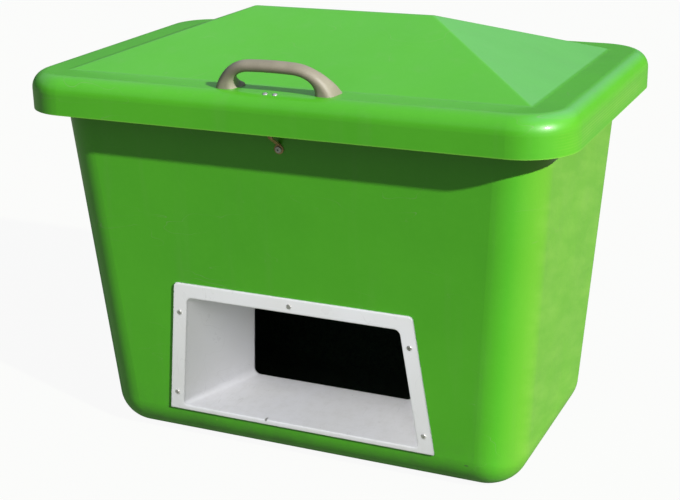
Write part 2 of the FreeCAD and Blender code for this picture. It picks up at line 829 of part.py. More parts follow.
def hinge_leaf(plate, hinge_x, first):
    """Plate with knuckles, notched for the other leaf's knuckles and bored for the pin."""
    for knuckle in knuckles(hinge_x, first, hinge_barrel_radius, hinge_knuckle_gap):
        plate = plate.fuse(knuckle)
    for notch in knuckles(hinge_x, 1 - first, hinge_barrel_radius + hinge_knuckle_gap, -hinge_knuckle_gap):
        plate = plate.cut(notch)
    start = Vector(hinge_x - hinge_length, hinge_axis_y, hinge_axis_z)
    end = start + Vector(2 * hinge_length, 0, 0)
    return plate.cut(cylinder_between(start, end, hinge_pin_diameter / 2 + hinge_pin_clearance))


def hinge_lid_leaf(hinge_x):
    half = hinge_length / 2
    inner = lid_inner_half_depth - hinge_leaf_thickness
    plate = box((hinge_x - half, hinge_x + half), (inner, lid_inner_half_depth),
                (hinge_axis_z, hinge_axis_z + hinge_leaf_rise))
    leaf = hinge_leaf(plate, hinge_x, 0)
    for point in hinge_rivet_points():
        leaf = loose_hole(leaf, point, Vector(0, -1, 0), rivet_diameter, 2 * lid_wall)
    return leaf


def hinge_tub_leaf(hinge_x):
    half = hinge_length / 2
    top = tub_rim_height - rim_edge_radius - hinge_leaf_below_round
    bottom = hinge_axis_z - hinge_barrel_radius
    side = [Vector(hinge_x - half, rim_half_depth, top), Vector(hinge_x - half, rim_half_depth, bottom),
            Vector(hinge_x - half, hinge_axis_y, bottom)]
    plate = bent_sheet(side, hinge_leaf_thickness, Vector(hinge_length, 0, 0))
    leaf = hinge_leaf(plate, hinge_x, 1)
    for point in hinge_bolt_points():
        leaf = loose_hole(leaf, point, Vector(0, 1, 0), hinge_bolt_diameter, tub_wall)
    return leaf


def hinge_pin(hinge_x):
    """Pin with a flanged end at each side of the barrel."""
    half = hinge_length / 2 + hinge_pin_end_gap
    start = Vector(hinge_x - half, hinge_axis_y, hinge_axis_z)
    pin = cylinder_between(start, start + Vector(2 * half, 0, 0), hinge_pin_diameter / 2)
    end_length = Vector(hinge_pin_end_length, 0, 0)
    for end_x in (hinge_x - half - hinge_pin_end_length, hinge_x + half):
        end = Vector(end_x, hinge_axis_y, hinge_axis_z)
        pin = pin.fuse(cylinder_between(end, end + end_length, hinge_pin_end_radius))
    return pin


def hinge_fasteners():
    outward = Vector(0, 1, 0)
    inside = tub_wall + washer_thickness(hinge_bolt_diameter)
    nut_height = nut(hinge_bolt_diameter).BoundBox.ZLength
    shank_length = hinge_leaf_thickness + inside + nut_height + thread_past_nut
    bolts = []
    washers = []
    nuts = []
    for point in hinge_bolt_points():
        bolt = screw(hinge_bolt_diameter, shank_length, hinge_bolt_head_diameter, hinge_bolt_head_height)
        bolts.append(place(bolt, point + outward * hinge_leaf_thickness, outward))
        washers.append(place(washer(hinge_bolt_diameter), point - outward * tub_wall, outward * -1))
        nuts.append(place(nut(hinge_bolt_diameter), point - outward * inside, outward * -1))
    save("hinge_bolts", bolts)
    save("hinge_bolt_washers", washers)
    save("hinge_bolt_nuts", nuts)
    rivets = []
    for point in hinge_rivet_points():
        rivets.append(place(small_rivet(lid_wall + hinge_leaf_thickness), point, outward))
    save("hinge_rivets", rivets)


# Lid stay

def end_normal():
    """Outward normal of the tub's right-hand end wall."""
    return Vector(math.cos(end_slant), 0, -math.sin(end_slant))


def on_end_wall(y, height, depth):
    """Point on the right-hand end wall, moved in from the outer face along its normal."""
    return Vector(tub_half_length(height), y, height) - end_normal() * depth


def around_hinge(angle_degrees):
    """Y and Z at the stay's radius in front of the hinge axis, raised by an angle."""
    angle = math.radians(angle_degrees)
    return hinge_axis_y - stay_radius * math.cos(angle), hinge_axis_z + stay_radius * math.sin(angle)


def stay_distance(lid_angle):
    """Distance from the stay's pivot to its guide pin when the lid is open by an angle."""
    return 2 * stay_radius * math.sin(math.radians(stay_rest_angle + lid_angle) / 2)


def stay_pivot_point(x):
    y, z = around_hinge(stay_guide_angle + stay_rest_angle)
    return Vector(x, y, z)


def stay_guide_point(x):
    y, z = around_hinge(stay_guide_angle)
    return Vector(x, y, z)


def stay_arm_reach():
    """Distance from the pivot to the far end of the arm."""
    return stay_distance(lid_open_angle) + stay_slot_run_out + stay_arm_width / 2


def stay_inner_face():
    """X of the arm's face that looks into the tub. The arm's lower end hangs just clear of the end wall."""
    low_end = stay_pivot_point(0).z - stay_arm_reach()
    return tub_half_length(low_end) - tub_wall - stay_to_wall - stay_arm_thickness


def stay_bracket_face():
    """X of the faces of both brackets beside the arm."""
    return stay_inner_face() + stay_arm_thickness + stay_bracket_gap


def flat_slot(first, last, radius, thickness):
    """Solid with round ends that runs down from the first to the last distance below the origin."""
    across = Vector(1, 0, 0)
    middle = box((0, thickness), (-radius, radius), (-last, -first))
    upper = Part.makeCylinder(radius, thickness, Vector(0, 0, -first), across)
    lower = Part.makeCylinder(radius, thickness, Vector(0, 0, -last), across)
    return middle.fuse(upper).fuse(lower)


def stay_arm():
    nearest = stay_distance(0)
    farthest = stay_distance(lid_open_angle)
    slot_radius = stay_guide_diameter / 2 + stay_slot_clearance
    arm = flat_slot(0, farthest + stay_slot_run_out, stay_arm_width / 2, stay_arm_thickness)
    arm = arm.cut(flat_slot(nearest - stay_slot_run_out, farthest + stay_slot_run_out, slot_radius,
                            stay_arm_thickness))
    pivot_hole = Part.makeCylinder(stay_pivot_diameter / 2 + hinge_pin_clearance, stay_arm_thickness,
                                   Vector(0, 0, 0), Vector(1, 0, 0))
    arm = arm.cut(pivot_hole)
    toward_guide = stay_guide_point(0) - stay_pivot_point(0)
    tilt = math.degrees(math.atan2(toward_guide.y, -toward_guide.z))
    arm.rotate(Vector(0, 0, 0), Vector(1, 0, 0), tilt)
    arm.translate(stay_pivot_point(stay_inner_face()))
    return arm


def stay_lid_bracket():
    """Angle bonded under the border of the lid, with a web beside the arm."""
    pivot = stay_pivot_point(0)
    face = stay_bracket_face()
    front = pivot.y - stay_bracket_width / 2
    side = [Vector(face + stay_foot_reach, front, lid_underside), Vector(face, front, lid_underside),
            Vector(face, front, pivot.z - stay_pivot_to_edge)]
    bracket = bent_sheet(side[::-1], stay_bracket_thickness, Vector(0, stay_bracket_width, 0))
    return close_hole(bracket, stay_pivot_point(face), Vector(1, 0, 0), stay_pivot_diameter,
                      2 * stay_bracket_thickness)


def stay_wall_plate_top():
    return lid_underside - stay_wall_plate_drop


def stay_bolt_points():
    """Places on the end wall's outer face, behind the wall plate of the guide bracket."""
    height = stay_wall_plate_top() - stay_wall_plate_height / 2
    y = stay_guide_point(0).y
    return [on_end_wall(y + side * stay_bolt_spacing / 2, height, 0) for side in (-1, 1)]


def stay_tub_bracket():
    """Bracket bolted inside the end wall: a wall plate, a shelf and a web that holds the guide pin."""
    guide = stay_guide_point(0)
    front = guide.y - stay_bracket_width / 2
    back_face = stay_bracket_face() + stay_bracket_thickness
    top = stay_wall_plate_top()
    shelf = top - stay_wall_plate_height
    side = [on_end_wall(front, top, tub_wall), on_end_wall(front, shelf, tub_wall),
            Vector(back_face, front, shelf), Vector(back_face, front, guide.z - stay_guide_to_edge)]
    bracket = bent_sheet(side, stay_bracket_thickness, Vector(0, stay_bracket_width, 0))
    inward = end_normal() * -1
    depth = 2 * stay_bracket_thickness
    for point in stay_bolt_points():
        bracket = loose_hole(bracket, point + inward * tub_wall, inward, hinge_bolt_diameter, depth)
    return close_hole(bracket, stay_guide_point(stay_bracket_face()), Vector(1, 0, 0),
                      stay_guide_diameter, depth)


def stay_spacer(point, diameter):
    """Ring on the web that keeps the arm clear of it."""
    thickness = stay_bracket_gap - stay_slot_clearance
    ring = Part.makeCylinder(diameter, thickness)
    ring = ring.cut(Part.makeCylinder(diameter / 2 + thread_clearance, thickness))
    return place(ring, point, Vector(-1, 0, 0))


def stay_fasteners():
    inward = Vector(-1, 0, 0)
    face = stay_bracket_face()
    head_seat = stay_inner_face() - stay_slot_clearance
    grip = face + stay_bracket_thickness - head_seat
    nut_height = nut(stay_guide_diameter).BoundBox.ZLength
    guide = screw(stay_guide_diameter, grip + nut_height + thread_past_nut, stay_guide_head_diameter,
                  stay_guide_head_height)
    save("stay_guide_bolt", place(guide, stay_guide_point(head_seat), inward))
    save("stay_guide_nut", place(nut(stay_guide_diameter), stay_guide_point(face + stay_bracket_thickness),
                                 Vector(1, 0, 0)))
    save("stay_guide_spacer", stay_spacer(stay_guide_point(face), stay_guide_diameter))
    pivot = rivet(stay_pivot_diameter, grip, stay_pivot_head_diameter, stay_pivot_head_height,
                  stay_pivot_tail_diameter, stay_pivot_tail_height)
    save("stay_pivot_pin", place(pivot, stay_pivot_point(head_seat), inward))
    save("stay_pivot_spacer", stay_spacer(stay_pivot_point(face), stay_pivot_diameter))
    outward = end_normal()
    plate_grip = tub_wall + stay_bracket_thickness + washer_thickness(hinge_bolt_diameter)
    shank_length = plate_grip + nut(hinge_bolt_diameter).BoundBox.ZLength + thread_past_nut
    bolts = []
    washers = []
    nuts = []
    for point in stay_bolt_points():
        seat = point - outward * (tub_wall + stay_bracket_thickness)
        bolt = screw(hinge_bolt_diameter, shank_length, hinge_bolt_head_diameter, hinge_bolt_head_height)
        bolts.append(place(bolt, seat, outward * -1))
        washers.append(place(washer(hinge_bolt_diameter), point, outward))
        nut_seat = point + outward * washer_thickness(hinge_bolt_diameter)
        nuts.append(place(nut(hinge_bolt_diameter), nut_seat, outward))
    save("stay_bracket_bolts", bolts)
    save("stay_bracket_washers", washers)
    save("stay_bracket_nuts", nuts)


# All nodes

save("tub_shell", tub_shell())
save("chute", chute())
chute_fasteners()
save("lid_shell", lid_shell())
save("lift_handle", lift_handle())
handle_fasteners()
save("lid_lock_strip", lid_lock_strip())
save("tub_lock_eye", tub_lock_eye())
lock_fasteners()
for hinge_name, hinge_x in (("left", -hinge_spacing / 2), ("right", hinge_spacing / 2)):
    save("hinge_lid_leaf_" + hinge_name, hinge_lid_leaf(hinge_x))
    save("hinge_tub_leaf_" + hinge_name, hinge_tub_leaf(hinge_x))
    save("hinge_pin_" + hinge_name, hinge_pin(hinge_x))
hinge_fasteners()
save("stay_arm", stay_arm())
save("stay_lid_bracket", stay_lid_bracket())
save("stay_tub_bracket", stay_tub_bracket())
stay_fasteners()
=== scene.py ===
import json
import math

import bpy
from mathutils import Matrix, Vector


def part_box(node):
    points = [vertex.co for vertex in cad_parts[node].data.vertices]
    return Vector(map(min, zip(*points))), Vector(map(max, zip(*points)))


# Grit and salt bin with its finishes, light and camera.
# Metres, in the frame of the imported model: X right, Y to the back, Z up from the floor.

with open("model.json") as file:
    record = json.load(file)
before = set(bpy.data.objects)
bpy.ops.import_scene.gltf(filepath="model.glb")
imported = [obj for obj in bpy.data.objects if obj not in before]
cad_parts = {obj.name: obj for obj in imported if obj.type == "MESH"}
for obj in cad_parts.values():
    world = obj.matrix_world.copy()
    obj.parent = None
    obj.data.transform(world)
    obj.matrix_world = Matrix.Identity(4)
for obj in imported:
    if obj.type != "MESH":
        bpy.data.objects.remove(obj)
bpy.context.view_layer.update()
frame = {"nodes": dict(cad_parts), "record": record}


# Colours, from screen values of 0 to 255

def colour(red, green, blue):
    """Screen values as the linear numbers that a shader takes."""
    linear = []
    for value in (red, green, blue):
        share = value / 255
        linear.append(share / 12.92 if share <= 0.04045 else ((share + 0.055) / 1.055) ** 2.4)
    return (linear[0], linear[1], linear[2], 1.0)


green = colour(79, 173, 30)
deep_green = colour(74, 166, 28)
sunned_green = colour(86, 177, 40)
# Chalky yellow green, which also paints the paler look of the sunlit end
chalk_and_sunlit_green = colour(108, 168, 42)
pale_green = colour(138, 192, 72)
# Pale bluish green of the painted sky reflection on the roof's sunny slope
painted_sky_green = colour(110, 168, 122)
# Flow-coat colours of the inside, darkened as painted shade for the dim inside of the bin
flow_coat_and_shade_green = colour(52, 72, 50)
flow_coat_and_shade_dark = colour(34, 46, 34)
dust = colour(150, 146, 128)
road_grime = colour(70, 72, 58)
white = colour(228, 227, 230)
warm_white = colour(219, 217, 214)
scuff_grey = colour(150, 150, 148)
handle_beige = colour(147, 139, 121)
handle_grey = colour(132, 124, 107)
steel = colour(206, 204, 200)
dull_steel = colour(160, 158, 154)
zinc_tan = colour(206, 176, 128)
zinc_brown = colour(160, 120, 74)
rust = colour(112, 62, 30)
brass_yellow = colour(196, 160, 92)
brass_brown = colour(140, 106, 56)
floor_bounce = colour(118, 124, 104)
sky_white = colour(222, 238, 255)
backdrop_white = colour(252, 252, 251)

# Camera, as fitted to the photograph. Angles in degrees.
camera_place = Vector((0.9175, -2.0331, 1.0800))
camera_azimuth = 24.6
camera_elevation = 19.36
camera_roll = -1.2
camera_lens = 74.5
camera_sensor_width = 36.0
camera_reach = 200.0

# Light. The sky is even for what it lights, and darker near the horizon in reflections.
sun_azimuth = 67.0
sun_elevation = 30.5
sun_strength = 5.8
sun_width = 1.6
sun_distance = 5.0
sky_strength = 0.27
sky_gloss_strength = 0.75
horizon_gloss_strength = 0.08
horizon_low = 0.27
horizon_high = 0.42
floor_radius = 30.0
floor_sides = 96
floor_below_bin = 0.001
floor_seen_share = 0.86
floor_gloss_share = 0.08
floor_glow = 1.09

# Soft lamp in front of the chute, which the sun doesn't reach
chute_lamp_azimuth = 8.0
chute_lamp_elevation = 37.0
chute_lamp_distance = 2.4
chute_lamp_size = 2.2
chute_lamp_power = 51.0

# Heights on the bin that the finishes follow
skirt_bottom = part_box("lid_shell")[0].z
lid_top = 0.621
tub_middle = 0.30
splash_height = 0.10
grit_low = 0.055
grit_high = 0.14

# Patterns. A larger grain is finer. A stretch over 1 flattens a pattern, and one under 1 draws it upright.
pigment_grain = 3.2
mottle_grain = 90.0
splash_grain = 22.0
run_grain = 38.0
run_stretch = 0.05
scratch_grain = 6.0
scratch_width = 0.0022
gloss_grain = 14.0
ripple_grain = 9.0
peel_grain = 320.0
strand_grain = 140.0
streak_grain = 8.0
streak_stretch = 4.2
line_break_grain = 11.0

# Green gel-coat: roughness, and how strongly each mark shows, from 0 to 1
green_roughness = (0.38, 0.48)
green_specular = 0.45
coat_share = 0.25
coat_roughness = 0.15
splashed_extra_roughness = 0.25
weathered_extra_roughness = 0.2
inside_extra_roughness = 0.45
mottle_share = 0.16
bleach_share = 0.1
splash_share = 0.45
run_share = 0.05
scratch_share = 0.35
spot_share = 0.7
# How strongly the painted sky reflection shows on the roof's sunny slope
sky_reflection_strength = 0.32

# Depth of the laminate's relief
mould_ripple = 0.0035
orange_peel = 0.0002
strand_height = 0.0012

# How far a face points up, right or back, from 0 to 1, where a finish begins and where it is full
roof_slope = (0.6, 0.9)
sky_reflection_lean = (0.1, 0.3)
rear_lean = (0.05, 0.3)
turned_to_end = (0.45, 0.97)
end_wall_lean = (0.8, 0.99)
skirt_end_lean = (0.7, 0.95)

# Yellowed end of the bin, partly painted sunlit paleness, with its painted sheen streaks, which fall by an
# angle in degrees, and the lines on its skirt
yellow_lid_share = 0.25
yellow_tub_share = 0.7
sheen_streak_share = 0.34
streak_fall = 18.0
skirt_edge_reach = 0.0022
skirt_edge_share = 0.45
skirt_line_height = 0.583
skirt_line_pitch = 0.0042
skirt_lines_to_each_side = 5
skirt_line_share = 0.7

# White gel-coat of the chute
cast_grain = 7.0
cast_share = 0.55
powder_grain = 60.0
rub_grain = 16.0
rub_width = 0.006
pit_grain = 55.0
pit_patch_grain = 12.0
white_gloss_grain = 30.0
white_ripple_grain = 16.0
white_peel_grain = 380.0
white_roughness = (0.26, 0.4)
white_specular = 0.4
gritty_extra_roughness = 0.15
chute_edge_softness = 0.004
chute_ripple = 0.0014
powder_share = 0.16
rubbed_share = 0.2
nick_share = 0.8

# Moulded plastic of the handle
handle_tone_grain = 26.0
spark_grain = 900.0
spark_share = 0.2
spark_depth = 0.0002
handle_gloss_grain = 60.0
handle_roughness = (0.5, 0.62)

# Plated and plain metal
plating_grain = 75.0
stain_grain = 210.0
draw_line_grain = 1600.0
draw_line_stretch = 0.08
draw_line_depth = 0.00008

# Small marks that the bin carries, and half of their sizes
front_speck = (-0.1502, -0.204, 0.0463)
front_speck_size = (0.0016, 0.01, 0.0016)
front_scuff = (0.2858, -0.204, 0.0485)
front_scuff_size = (0.0045, 0.01, 0.0018)
lip_nick = (-0.0563, -0.210, 0.0664)
lip_nick_size = (0.0028, 0.01, 0.0042)


# Nodes that the materials are made of

def new_material(name):
    made = bpy.data.materials.new(name)
    made.use_nodes = True
    tree = made.node_tree
    return made, tree, tree.nodes["Principled BSDF"]


def place_on_piece(tree):
    return tree.nodes.new("ShaderNodeTexCoord").outputs["Object"]


def stretched(tree, place, scale):
    """The place with each axis scaled, for a pattern that is longer one way."""
    node = tree.nodes.new("ShaderNodeMapping")
    tree.links.new(place, node.inputs["Vector"])
    node.inputs["Scale"].default_value = scale
    return node.outputs["Vector"]


def tilted(tree, place, degrees):
    """The place turned about X, for a pattern that falls towards the back."""
    node = tree.nodes.new("ShaderNodeMapping")
    tree.links.new(place, node.inputs["Vector"])
    node.inputs["Rotation"].default_value = (math.radians(degrees), 0.0, 0.0)
    return node.outputs["Vector"]


def noise(tree, place, scale, detail=3.0, roughness=0.5, distortion=0.0):
    node = tree.nodes.new("ShaderNodeTexNoise")
    tree.links.new(place, node.inputs["Vector"])
    node.inputs["Scale"].default_value = scale
    node.inputs["Detail"].default_value = detail
    node.inputs["Roughness"].default_value = roughness
    node.inputs["Distortion"].default_value = distortion
    return node.outputs["Fac"]


def cells(tree, place, scale):
    """Distance from the middle of the nearest of many scattered cells."""
    node = tree.nodes.new("ShaderNodeTexVoronoi")
    tree.links.new(place, node.inputs["Vector"])
    node.inputs["Scale"].default_value = scale
    return node.outputs["Distance"]


def remap(tree, value, from_low, from_high, to_low=0.0, to_high=1.0):
    node = tree.nodes.new("ShaderNodeMapRange")
    tree.links.new(value, node.inputs["Value"])
    node.inputs["From Min"].default_value = from_low
    node.inputs["From Max"].default_value = from_high
    node.inputs["To Min"].default_value = to_low
    node.inputs["To Max"].default_value = to_high
    return node.outputs["Result"]


def compute(tree, operation, first, second=0.0):
    """Math node on one or two values, each a socket or a plain number."""
    node = tree.nodes.new("ShaderNodeMath")
    node.operation = operation
    for index, value in enumerate((first, second)):
        if isinstance(value, (int, float)):
            node.inputs[index].default_value = value
        else:
            tree.links.new(value, node.inputs[index])
    return node.outputs["Value"]


def axis_of(tree, place, axis):
    node = tree.nodes.new("ShaderNodeSeparateXYZ")
    tree.links.new(place, node.inputs["Vector"])
    return node.outputs[axis]


def blend_colours(tree, share, first, second):
    """Mix of two colours, each a socket or a plain colour, by a share from 0 to 1."""
    node = tree.nodes.new("ShaderNodeMix")
    node.data_type = "RGBA"
    tree.links.new(share, node.inputs["Factor"])
    for index, value in ((6, first), (7, second)):
        if isinstance(value, tuple):
            node.inputs[index].default_value = value
        else:
            tree.links.new(value, node.inputs[index])
    return node.outputs[2]


def bump(tree, height, distance, strength=1.0, under=None):
    node = tree.nodes.new("ShaderNodeBump")
    tree.links.new(height, node.inputs["Height"])
    node.inputs["Distance"].default_value = distance
    node.inputs["Strength"].default_value = strength
    if under is not None:
        tree.links.new(under, node.inputs["Normal"])
    return node.outputs["Normal"]


def finish(tree, shader, base, roughness, normal):
    tree.links.new(base, shader.inputs["Base Color"])
    tree.links.new(roughness, shader.inputs["Roughness"])
    tree.links.new(normal, shader.inputs["Normal"])


def offset_from(tree, place, centre):
    node = tree.nodes.new("ShaderNodeVectorMath")
    node.operation = "SUBTRACT"
    tree.links.new(place, node.inputs[0])
    node.inputs[1].default_value = centre
    return node.outputs["Vector"]


def faces_inward(tree, place, middle_height):
    """1 on faces that look towards the middle of the bin, and 0 on those that look out."""
    normal = tree.nodes.new("ShaderNodeTexCoord").outputs["Normal"]
    outward = tree.nodes.new("ShaderNodeVectorMath")
    outward.operation = "DOT_PRODUCT"
    tree.links.new(normal, outward.inputs[0])
    tree.links.new(offset_from(tree, place, (0, 0, middle_height)), outward.inputs[1])
    return compute(tree, "LESS_THAN", outward.outputs["Value"])


def scratches(tree, place, stretch, scale, limit):
    """Thin broken lines, 1 on a scratch."""
    lines = noise(tree, stretched(tree, place, stretch), scale, detail=2.0, distortion=0.6)
    near_middle = compute(tree, "ABSOLUTE", compute(tree, "SUBTRACT", lines, 0.5))
    thin = remap(tree, near_middle, 0.0, limit, 1.0, 0.0)
    broken = remap(tree, noise(tree, place, 9.0, detail=2.0), 0.52, 0.62)
    return compute(tree, "MULTIPLY", thin, broken)


def facing(tree, axis, low, high):
    """Rises to 1 on faces that look along an axis."""
    normal = tree.nodes.new("ShaderNodeTexCoord").outputs["Normal"]
    return remap(tree, axis_of(tree, normal, axis), low, high)


def near(tree, value, middle, reach):
    """1 where a value is at the middle, falling to 0 at a reach to either side."""
    away = compute(tree, "ABSOLUTE", compute(tree, "SUBTRACT", value, middle))
    return remap(tree, away, 0.0, reach, 1.0, 0.0)


def spot(tree, place, centre, half_sizes):
    """Soft-edged oval mark, 1 in its middle."""
    scaled = tree.nodes.new("ShaderNodeVectorMath")
    scaled.operation = "DIVIDE"
    tree.links.new(offset_from(tree, place, centre), scaled.inputs[0])
    scaled.inputs[1].default_value = half_sizes
    length = tree.nodes.new("ShaderNodeVectorMath")
    length.operation = "LENGTH"
    tree.links.new(scaled.outputs["Vector"], length.inputs[0])
    return remap(tree, length.outputs["Value"], 0.5, 1.0, 1.0, 0.0)


# Finishes

def chalk_and_sheen_on_end(tree, place, under):
    """Yellowed, chalky end, partly painted paleness of the sunlit side, more so on the tub, which has
    painted sheen streaks there that fall towards the back.
    """
    below_lid = remap(tree, axis_of(tree, place, "Z"), skirt_bottom - 0.004, skirt_bottom - 0.012)
    end_wall = compute(tree, "MULTIPLY", facing(tree, "X", *end_wall_lean), below_lid)
    # Yellowing: chalk, and painted sunlit paleness on faces turned to the sun
    yellowed = remap(tree, below_lid, 0.0, 1.0, yellow_lid_share, yellow_tub_share)
    yellow_share = compute(tree, "MULTIPLY", facing(tree, "X", *turned_to_end), yellowed)
    chalked_and_sunlit = blend_colours(tree, yellow_share, under, chalk_and_sunlit_green)
    # Painted sheen: pale streaks on the end wall stand in for the sun's blotchy reflection there
    falling = stretched(tree, tilted(tree, place, streak_fall), (1.0, 1.0, streak_stretch))
    streaky_sheen = noise(tree, falling, streak_grain, detail=6.0, roughness=0.6)
    streaks = compute(tree, "MULTIPLY", remap(tree, streaky_sheen, 0.40, 0.68, 0.0, sheen_streak_share), end_wall)
    return blend_colours(tree, streaks, chalked_and_sunlit, pale_green)


def line_skirt(tree, place, under):
    """Paler trimmed edge under the skirt, and fine level lines on its right-hand end."""
    height = axis_of(tree, place, "Z")
    edge = compute(tree, "MULTIPLY", near(tree, height, skirt_bottom, skirt_edge_reach), skirt_edge_share)
    lined = blend_colours(tree, edge, under, pale_green)
    turns = compute(tree, "MULTIPLY", height, 1.0 / skirt_line_pitch)
    lines = near(tree, compute(tree, "FRACT", turns), 0.5, 0.35)
    band = near(tree, height, skirt_line_height, skirt_lines_to_each_side * skirt_line_pitch)
    along = stretched(tree, place, (1.0, 0.6, 4.0))
    broken = remap(tree, noise(tree, along, line_break_grain, detail=2.0), 0.36, 0.56)
    share = compute(tree, "MULTIPLY", compute(tree, "MULTIPLY", lines, band), broken)
    share = compute(tree, "MULTIPLY", share, facing(tree, "X", *skirt_end_lean))
    return blend_colours(tree, compute(tree, "MULTIPLY", share, skirt_line_share), lined, pale_green)


def green_laminate():
    """Green gel-coat outside, rougher on the roof's rear slope, and rough flow-coat inside, its colour
    darkened as painted shade.
    """
    made, tree, shader = new_material("green_laminate")
    place = place_on_piece(tree)
    height = axis_of(tree, place, "Z")

    # Colour: broad pigment drift, fine mottle, sun-bleached top, grime at the foot, marks, a painted sky
    # reflection on the roof's sunny slope, and yellowing with painted sunlit paleness and painted sheen
    # streaks on the end
    drift = remap(tree, noise(tree, place, pigment_grain, detail=3.0), 0.35, 0.65)
    outside = blend_colours(tree, drift, deep_green, green)
    mottle = remap(tree, noise(tree, place, mottle_grain, detail=4.0), 0.45, 0.75, 0.0, mottle_share)
    outside = blend_colours(tree, mottle, outside, sunned_green)
    bleach = remap(tree, height, lid_top - 0.05, lid_top + 0.08, 0.0, bleach_share)
    outside = blend_colours(tree, bleach, outside, sunned_green)
    foot = remap(tree, height, splash_height, 0.0)
    splashed = noise(tree, place, splash_grain, detail=6.0, roughness=0.7)
    splash = remap(tree, splashed, 0.42, 0.72, 0.0, splash_share)
    outside = blend_colours(tree, compute(tree, "MULTIPLY", foot, splash), outside, road_grime)
    runs = noise(tree, stretched(tree, place, (1.0, 1.0, run_stretch)), run_grain, detail=3.0)
    outside = blend_colours(tree, remap(tree, runs, 0.56, 0.8, 0.0, run_share), outside, dust)
    marks = scratches(tree, place, (1.0, 1.0, 3.5), scratch_grain, scratch_width)
    outside = blend_colours(tree, compute(tree, "MULTIPLY", marks, scratch_share), outside, dust)
    speck = spot(tree, place, front_speck, front_speck_size)
    outside = blend_colours(tree, compute(tree, "MULTIPLY", speck, spot_share), outside, pale_green)
    scuff = spot(tree, place, front_scuff, front_scuff_size)
    outside = blend_colours(tree, compute(tree, "MULTIPLY", scuff, spot_share), outside, road_grime)
    # Painted sky reflection: pale bluish green on the roof slope that faces the sun
    sky_reflecting_slope = compute(tree, "MULTIPLY", facing(tree, "Z", *roof_slope), facing(tree, "X", *sky_reflection_lean))
    sky_reflection_share = compute(tree, "MULTIPLY", sky_reflecting_slope, sky_reflection_strength)
    outside = blend_colours(tree, sky_reflection_share, outside, painted_sky_green)
    outside = chalk_and_sheen_on_end(tree, place, outside)
    outside = line_skirt(tree, place, outside)

    # Inside: brushed flow-coat over chopped strands, its colour darkened as painted shade for the dim
    # inside of the bin
    strands = noise(tree, place, strand_grain, detail=6.0, roughness=0.7, distortion=1.4)
    inside = blend_colours(tree, remap(tree, strands, 0.35, 0.65), flow_coat_and_shade_dark, flow_coat_and_shade_green)
    inner = faces_inward(tree, place, tub_middle)
    base = blend_colours(tree, inner, outside, inside)

    # Satin outside under a thin coat, with a faint ripple from the mould, and matt inside
    gloss = remap(tree, noise(tree, place, gloss_grain, detail=4.0), 0.3, 0.7, *green_roughness)
    gloss = compute(tree, "ADD", gloss, compute(tree, "MULTIPLY", foot, splashed_extra_roughness))
    weathered = compute(tree, "MULTIPLY", facing(tree, "Z", *roof_slope), facing(tree, "Y", *rear_lean))
    gloss = compute(tree, "ADD", gloss, compute(tree, "MULTIPLY", weathered, weathered_extra_roughness))
    roughness = compute(tree, "ADD", gloss, compute(tree, "MULTIPLY", inner, inside_extra_roughness))
    ripple = bump(tree, noise(tree, place, ripple_grain, detail=1.0), mould_ripple, 0.3)
    peel = bump(tree, noise(tree, place, peel_grain, detail=2.0), orange_peel, 0.25, ripple)
    coarse = compute(tree, "MULTIPLY", strands, inner)
    normal = bump(tree, coarse, strand_height, 0.7, peel)
    finish(tree, shader, base, roughness, normal)
    uncoated = compute(tree, "MAXIMUM", inner, weathered)
    tree.links.new(remap(tree, uncoated, 0.0, 1.0, coat_share, 0.0), shader.inputs["Coat Weight"])
    tree.links.new(normal, shader.inputs["Coat Normal"])
    shader.inputs["Coat Roughness"].default_value = coat_roughness
    shader.inputs["Specular IOR Level"].default_value = green_specular
    return made


def white_laminate():
    """White gel-coat of the chute, dusty and scuffed where grit runs over it."""
    made, tree, shader = new_material("white_laminate")
    place = place_on_piece(tree)
    height = axis_of(tree, place, "Z")
    drift = remap(tree, noise(tree, place, cast_grain, detail=3.0), 0.35, 0.7, 0.0, cast_share)
    base = blend_colours(tree, drift, white, warm_white)
    low = remap(tree, height, grit_high, grit_low)
    powdery = noise(tree, place, powder_grain, detail=7.0, roughness=0.7)
    powder = remap(tree, powdery, 0.45, 0.75, 0.0, powder_share)
    base = blend_colours(tree, compute(tree, "MULTIPLY", low, powder), base, dust)
    rubbed = scratches(tree, place, (3.0, 0.5, 1.0), rub_grain, rub_width)
    base = blend_colours(tree, compute(tree, "MULTIPLY", rubbed, rubbed_share), base, scuff_grey)
    pits = remap(tree, cells(tree, place, pit_grain), 0.035, 0.02)
    sparse = remap(tree, noise(tree, place, pit_patch_grain), 0.56, 0.6)
    base = blend_colours(tree, compute(tree, "MULTIPLY", pits, sparse), base, road_grime)
    nick = spot(tree, place, lip_nick, lip_nick_size)
    base = blend_colours(tree, compute(tree, "MULTIPLY", nick, nick_share), base, road_grime)
    gloss = remap(tree, noise(tree, place, white_gloss_grain, detail=4.0), 0.3, 0.7, *white_roughness)
    roughness = compute(tree, "ADD", gloss, compute(tree, "MULTIPLY", low, gritty_extra_roughness))
    soft_edges = tree.nodes.new("ShaderNodeBevel")
    soft_edges.samples = 6
    soft_edges.inputs["Radius"].default_value = chute_edge_softness
    under = soft_edges.outputs["Normal"]
    ripple = bump(tree, noise(tree, place, white_ripple_grain, detail=1.0), chute_ripple, 0.4, under)
    normal = bump(tree, noise(tree, place, white_peel_grain, detail=3.0), orange_peel, 0.3, ripple)
    finish(tree, shader, base, roughness, normal)
    shader.inputs["Specular IOR Level"].default_value = white_specular
    return made


